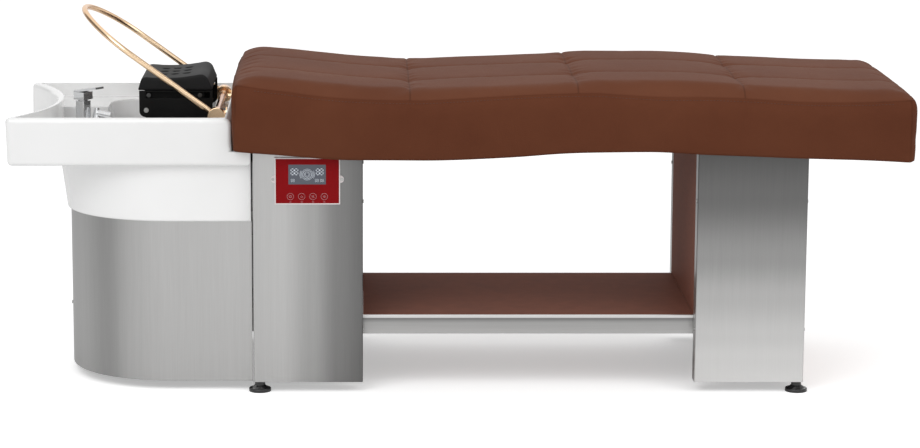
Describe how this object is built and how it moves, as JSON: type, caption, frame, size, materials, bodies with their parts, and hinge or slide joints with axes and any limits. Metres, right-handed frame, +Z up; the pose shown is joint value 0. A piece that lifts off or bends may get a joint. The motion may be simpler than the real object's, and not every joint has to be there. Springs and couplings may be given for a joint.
{
  "type": "hair washing bed",
  "caption": "Salon hair washing bed: quilted leather couch on two steel pedestals with a shelf, ceramic head basin, mixer tap, sliding neck rest and folding water hoop",
  "frame": {"origin": "on the floor under the middle of the whole bed", "axes": "+Z up, +X from the basin to the foot end, +Y to the side away from the control panel"},
  "size_m": [2.0269, 0.65, 0.8512],
  "materials": {
    "stainless": "brushed, smooth, light wear",
    "black_steel": "black powder coat, satin",
    "frame_steel": "dark powder coat, satin",
    "zinc_steel": "bright zinc",
    "brown_board": "brown laminate on board, satin",
    "plywood": "plain birch ply",
    "brown_leather": "soft brown leather, stitched seams",
    "ceramic": "white glaze",
    "gold_metal": "polished pale gold",
    "chrome": "polished chrome",
    "black_rubber": "soft matte",
    "braided_hose": "grey flexible hose",
    "white_plastic": "white, satin gloss",
    "black_plastic": "black, matte",
    "white_pipe": "white pipe plastic",
    "red_panel": "deep red, glossy",
    "lcd": "dark display glass",
    "key_print": "printed touch pads",
    "circuit": "green circuit board",
    "brass_fitting": "plain brass"
  },
  "bodies": {
    "bed": {"basin": "ceramic", "basin_skirt": "stainless", "basin_support": "frame_steel", "bay_panels": "brown_board", "bed_board": "plywood", "bed_frame": "frame_steel", "bracket_screws": "zinc_steel", "circuit_board": "circuit", "drain_flange": "chrome", "equipment_tray": "frame_steel", "feed_hose": "braided_hose", "foot_end_panel": "brown_board", "foot_frame": "frame_steel", "foot_front_cover": "stainless", "foot_plugs": "black_plastic", "foot_rear_cover": "stainless", "head_frame": "frame_steel", "head_front_cover": "stainless", "head_mount_plate": "frame_steel", "head_rear_cover": "stainless", "hoop_brackets": "gold_metal", "hoop_cross_tube": "gold_metal", "lcd_display": "lcd", "link_hose": "braided_hose", "mattress": "brown_leather", "neck_bracket": "black_steel", "panel_frame": "white_plastic", "panel_glass": "red_panel", "panel_housing": "black_plastic", "panel_screws": "zinc_steel", "power_gland": "black_plastic", "pump": "black_plastic", "rest_bars": "black_steel", "sheet_screws": "zinc_steel", "shelf_board": "brown_board", "shelf_bolts": "zinc_steel", "shelf_middle_bar": "frame_steel", "shelf_rails": "stainless", "spray_holder": "chrome", "supply_hoses": "braided_hose", "supply_unions": "brass_fitting", "tank_heater": "zinc_steel", "tap_body": "chrome", "tap_nut": "zinc_steel", "touch_keys": "key_print", "waste_pipe": "white_pipe", "waste_trap": "white_pipe", "water_tank": "stainless"},
    "levelling_foot_head_front": {"levelling_foot_head_front": "black_steel"},
    "levelling_foot_head_rear": {"levelling_foot_head_rear": "black_steel"},
    "levelling_foot_foot_front": {"levelling_foot_foot_front": "black_steel"},
    "levelling_foot_foot_rear": {"levelling_foot_foot_rear": "black_steel"},
    "circulation_hoop": {"circulation_hoop": "gold_metal"},
    "neck_rest": {"neck_cushion": "black_rubber", "neck_carrier": "black_steel", "carrier_pins": "zinc_steel"},
    "tap_cartridge": {"tap_cartridge": "chrome"},
    "tap_handle": {"tap_handle": "chrome"},
    "hand_spray": {"hand_spray": "chrome"},
    "hair_strainer": {"hair_strainer": "chrome"}
  },
  "joints": [
    {"name": "head_front_foot_screw", "type": "slide", "parent": "bed", "child": "levelling_foot_head_front", "axis": [0, 0, -1], "range_m": [0, 0.02]},
    {"name": "head_rear_foot_screw", "type": "slide", "parent": "bed", "child": "levelling_foot_head_rear", "axis": [0, 0, -1], "range_m": [0, 0.02]},
    {"name": "foot_front_foot_screw", "type": "slide", "parent": "bed", "child": "levelling_foot_foot_front", "axis": [0, 0, -1], "range_m": [0, 0.02]},
    {"name": "foot_rear_foot_screw", "type": "slide", "parent": "bed", "child": "levelling_foot_foot_rear", "axis": [0, 0, -1], "range_m": [0, 0.02]},
    {"name": "hoop_hinge", "type": "hinge", "parent": "bed", "child": "circulation_hoop", "pos_m": [-0.5465, 0, 0.619], "axis": [0, 1, 0], "range_deg": [-30, 64]},
    {"name": "neck_rest_slide", "type": "slide", "parent": "bed", "child": "neck_rest", "axis": [1, 0, 0], "range_m": [-0.0025, 0.018]},
    {"name": "tap_turn", "type": "hinge", "parent": "bed", "child": "tap_cartridge", "pos_m": [-0.86582, 0, 0.631], "axis": [0, 0, 1], "range_deg": [-45, 45]},
    {"name": "tap_lift", "type": "hinge", "parent": "tap_cartridge", "child": "tap_handle", "pos_m": [-0.87868, 0.00952, 0.6313], "axis": [-0.5948, -0.8039, 0], "range_deg": [0, 20]},
    {"name": "hand_spray_lift", "type": "slide", "parent": "bed", "child": "hand_spray", "axis": [0, 0, 1], "range_m": [0, 0.018]},
    {"name": "strainer_lift", "type": "slide", "parent": "bed", "child": "hair_strainer", "axis": [0, 0, 1], "range_m": [0, 0.05]}
  ]
}
